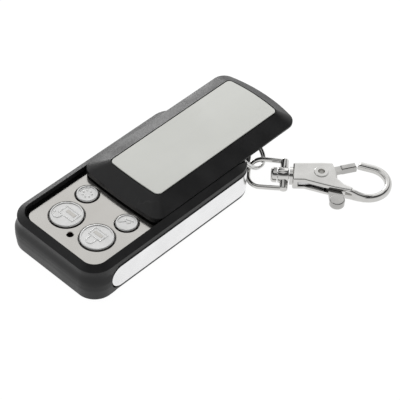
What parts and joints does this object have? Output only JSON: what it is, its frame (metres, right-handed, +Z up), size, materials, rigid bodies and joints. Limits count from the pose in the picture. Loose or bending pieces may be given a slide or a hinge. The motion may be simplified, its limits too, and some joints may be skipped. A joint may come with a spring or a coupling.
{
  "type": "garage door remote",
  "caption": "Slim hand-held radio remote with a sliding cover over its push buttons, bright side strips and a swivel snap hook on a split ring.",
  "frame": {"origin": "middle of the casing's flat underside", "axes": "+Z up out of the keypad, +X towards the keyring end, -Y towards the side that the snap hook lies on"},
  "size_m": [0.0932, 0.0641, 0.0149],
  "materials": {
    "black_shell": "fine satin moulded plastic",
    "black_cover": "satin moulded plastic",
    "keypad_silver": "brushed, slightly warm",
    "cover_silver": "fine satin",
    "strip_silver": "bright satin",
    "button_silver": "bright silver with pressed relief",
    "clasp_plating": "polished nickel plating",
    "ring_steel": "polished steel wire",
    "screw_steel": "zinc plated",
    "spring_steel": "spring steel",
    "can_metal": "drawn can",
    "coil_copper": "enamelled copper wire",
    "board_green": "solder mask",
    "switch_black": "moulded",
    "lamp_red": "clear red lens",
    "battery_jacket": "printed film jacket without lettering"
  },
  "bodies": {
    "casing": {"bottom_shell": "black_shell", "top_shell": "black_shell", "keypad_plate": "keypad_silver", "side_strip_left": "strip_silver", "side_strip_right": "strip_silver", "circuit_board": "board_green", "tact_switches": "switch_black", "status_led": "lamp_red", "battery": "battery_jacket", "battery_contacts": "spring_steel", "chips": "switch_black", "crystal": "can_metal", "antenna_coil": "coil_copper", "case_screws": "screw_steel"},
    "cover": {"cover_shell": "black_cover", "cover_plate": "cover_silver"},
    "button_lock_open": {"button_lock_open": "button_silver", "plunger_lock_open": "switch_black"},
    "button_lock_closed": {"button_lock_closed": "button_silver", "plunger_lock_closed": "switch_black"},
    "button_dial": {"button_dial": "button_silver", "plunger_dial": "switch_black"},
    "button_bolt": {"button_bolt": "button_silver", "plunger_bolt": "switch_black"},
    "ring": {"split_ring": "ring_steel"},
    "loop": {"swivel_loop": "clasp_plating"},
    "hook": {"hook_body": "clasp_plating", "swivel_post": "clasp_plating", "pivot_eyelet": "clasp_plating", "lever_spring": "spring_steel"},
    "lever": {"gate_lever": "clasp_plating"}
  },
  "joints": [
    {"name": "cover_slide", "type": "slide", "parent": "casing", "child": "cover", "axis": [-1, 0, 0], "range_m": [0, 0.023]},
    {"name": "lock_open_press", "type": "slide", "parent": "casing", "child": "button_lock_open", "axis": [0, 0, -1], "range_m": [0, 0.0003], "stiffness_N_per_m": 3000},
    {"name": "lock_closed_press", "type": "slide", "parent": "casing", "child": "button_lock_closed", "axis": [0, 0, -1], "range_m": [0, 0.0003], "stiffness_N_per_m": 3000},
    {"name": "dial_press", "type": "slide", "parent": "casing", "child": "button_dial", "axis": [0, 0, -1], "range_m": [0, 0.0003], "stiffness_N_per_m": 3000},
    {"name": "bolt_press", "type": "slide", "parent": "casing", "child": "button_bolt", "axis": [0, 0, -1], "range_m": [0, 0.0003], "stiffness_N_per_m": 3000},
    {"name": "ring_swing", "type": "hinge", "parent": "casing", "child": "ring", "pos_m": [0.03279, -0.0106, 0.00628], "axis": [0, 0, 1], "range_deg": [0, 20]},
    {"name": "loop_tilt", "type": "hinge", "parent": "ring", "child": "loop", "pos_m": [0.03953, -0.01271, 0.0018], "axis": [-0.766, -0.6428, 0], "range_deg": [0, 30]},
    {"name": "hook_swivel", "type": "hinge", "parent": "loop", "child": "hook", "pos_m": [0.03244, -0.01226, 0.0023], "axis": [0.6428, -0.766, 0], "continuous": true},
    {"name": "gate_pivot", "type": "hinge", "parent": "hook", "child": "lever", "pos_m": [0.04663, -0.02855, 0.0023], "axis": [0, 0, -1], "range_deg": [0, 25], "stiffness_Nm_per_rad": 0.02, "springref_deg": -11.46, "deforming": ["lever_spring"]}
  ]
}
